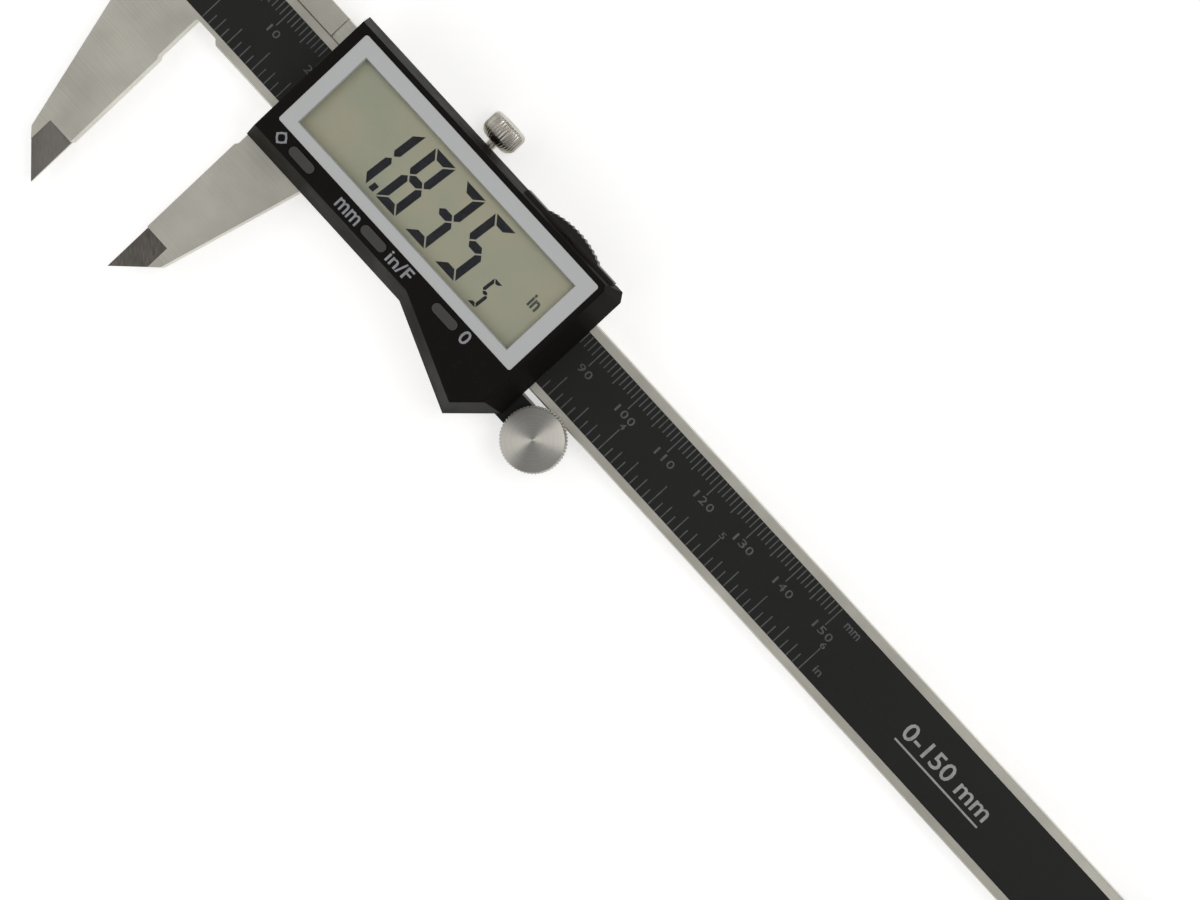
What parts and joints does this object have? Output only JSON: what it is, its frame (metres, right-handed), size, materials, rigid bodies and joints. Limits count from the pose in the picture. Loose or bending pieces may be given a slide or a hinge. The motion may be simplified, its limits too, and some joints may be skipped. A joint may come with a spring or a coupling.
{
  "type": "digital caliper",
  "caption": "Digital caliper with a printed beam, fixed and sliding jaws, inside blades, depth rod, display slider with buttons, battery tray, lock screw and thumb roller, drawn part open.",
  "frame": {"origin": "under the middle of the whole caliper's box, on the plane it lies on, with the jaws 20 mm open", "axes": "+X along the beam from the jaws to its far end, +Y across the beam towards the inside blades and the lock screw, +Z out of the display"},
  "size_m": [0.2624, 0.0724, 0.0147],
  "materials": {
    "beam_steel": "fine brushed stainless steel",
    "slider_steel": "fine brushed stainless steel",
    "glass_epoxy": "green glass-epoxy strip",
    "scale_print": "black film with grey graduations",
    "stop_steel": "plain steel plate",
    "screw_steel": "zinc-plated screws",
    "back_steel": "brushed sheet steel",
    "brass": "brass strip",
    "felt": "black felt",
    "rod_steel": "ground steel",
    "cover_plastic": "gloss black moulding",
    "bezel_silver": "satin silver-grey frame",
    "clear_window": "clear plastic window",
    "display_glass": "grey-green display glass",
    "connector_rubber": "striped contact rubber",
    "board_green": "green circuit board",
    "chip_black": "black epoxy package",
    "switch_metal": "small metal-cased switches",
    "contact_brass": "plated spring contact",
    "arm_black": "black painted bracket",
    "axle_steel": "ground pin",
    "spring_steel": "spring leaf",
    "roller_metal": "turned metal with a knurled rim",
    "lock_metal": "knurled plated metal",
    "tray_plastic": "black moulding",
    "cell_steel": "bright cell can",
    "button_grey": "dark grey keys"
  },
  "bodies": {
    "beam_assembly": {"beam": "beam_steel", "scale_stator": "glass_epoxy", "scale_label": "scale_print", "beam_end_stop": "stop_steel", "end_stop_screws": "screw_steel"},
    "slider_assembly": {"slider_frame": "slider_steel", "back_plate": "back_steel", "body_screws": "screw_steel", "gib_strip": "brass", "gib_set_screws": "screw_steel", "beam_wipers": "felt", "depth_rod": "rod_steel", "depth_rod_screw": "screw_steel", "front_cover": "cover_plastic", "display_bezel": "bezel_silver", "display_window": "clear_window", "lcd_panel": "display_glass", "lcd_connector_strip": "connector_rubber", "circuit_board": "board_green", "controller_chip": "chip_black", "button_switches": "switch_metal", "battery_contact": "contact_brass", "roller_arm": "arm_black", "roller_axle": "axle_steel", "roller_spring": "spring_steel", "roller_arm_screw": "screw_steel"},
    "roller_body": {"thumb_roller": "roller_metal"},
    "lock_body": {"lock_screw": "lock_metal"},
    "battery_drawer": {"battery_tray": "tray_plastic", "coin_cell": "cell_steel"},
    "power_key": {"power_button": "button_grey"},
    "unit_key": {"unit_button": "button_grey"},
    "zero_key": {"zero_button": "button_grey"}
  },
  "joints": [
    {"name": "slider_travel", "type": "slide", "parent": "beam_assembly", "child": "slider_assembly", "axis": [1, 0, 0], "range_m": [-0.01995, 0.132]},
    {"name": "thumb_roller_spin", "type": "hinge", "parent": "slider_assembly", "child": "roller_body", "pos_m": [-0.02175, -0.00145, 0.0063], "axis": [0, 0, 1], "range_deg": [-221.5, 1464]},
    {"name": "lock_screw_turn", "type": "hinge", "parent": "slider_assembly", "child": "lock_body", "pos_m": [-0.06425, 0.02775, 0.00365], "axis": [0, 1, 0], "range_deg": [0, 540]},
    {"name": "battery_tray_slide", "type": "slide", "parent": "slider_assembly", "child": "battery_drawer", "axis": [0, 1, 0], "range_m": [0, 0.021]},
    {"name": "power_button_press", "type": "slide", "parent": "slider_assembly", "child": "power_key", "axis": [0, 0, -1], "range_m": [0, 0.0006], "stiffness_N_per_m": 800},
    {"name": "unit_button_press", "type": "slide", "parent": "slider_assembly", "child": "unit_key", "axis": [0, 0, -1], "range_m": [0, 0.0006], "stiffness_N_per_m": 800},
    {"name": "zero_button_press", "type": "slide", "parent": "slider_assembly", "child": "zero_key", "axis": [0, 0, -1], "range_m": [0, 0.0006], "stiffness_N_per_m": 800}
  ],
  "couplings": [
    {"joint": "thumb_roller_spin", "follows": "slider_travel", "rad_per_m": 193.42}
  ]
}
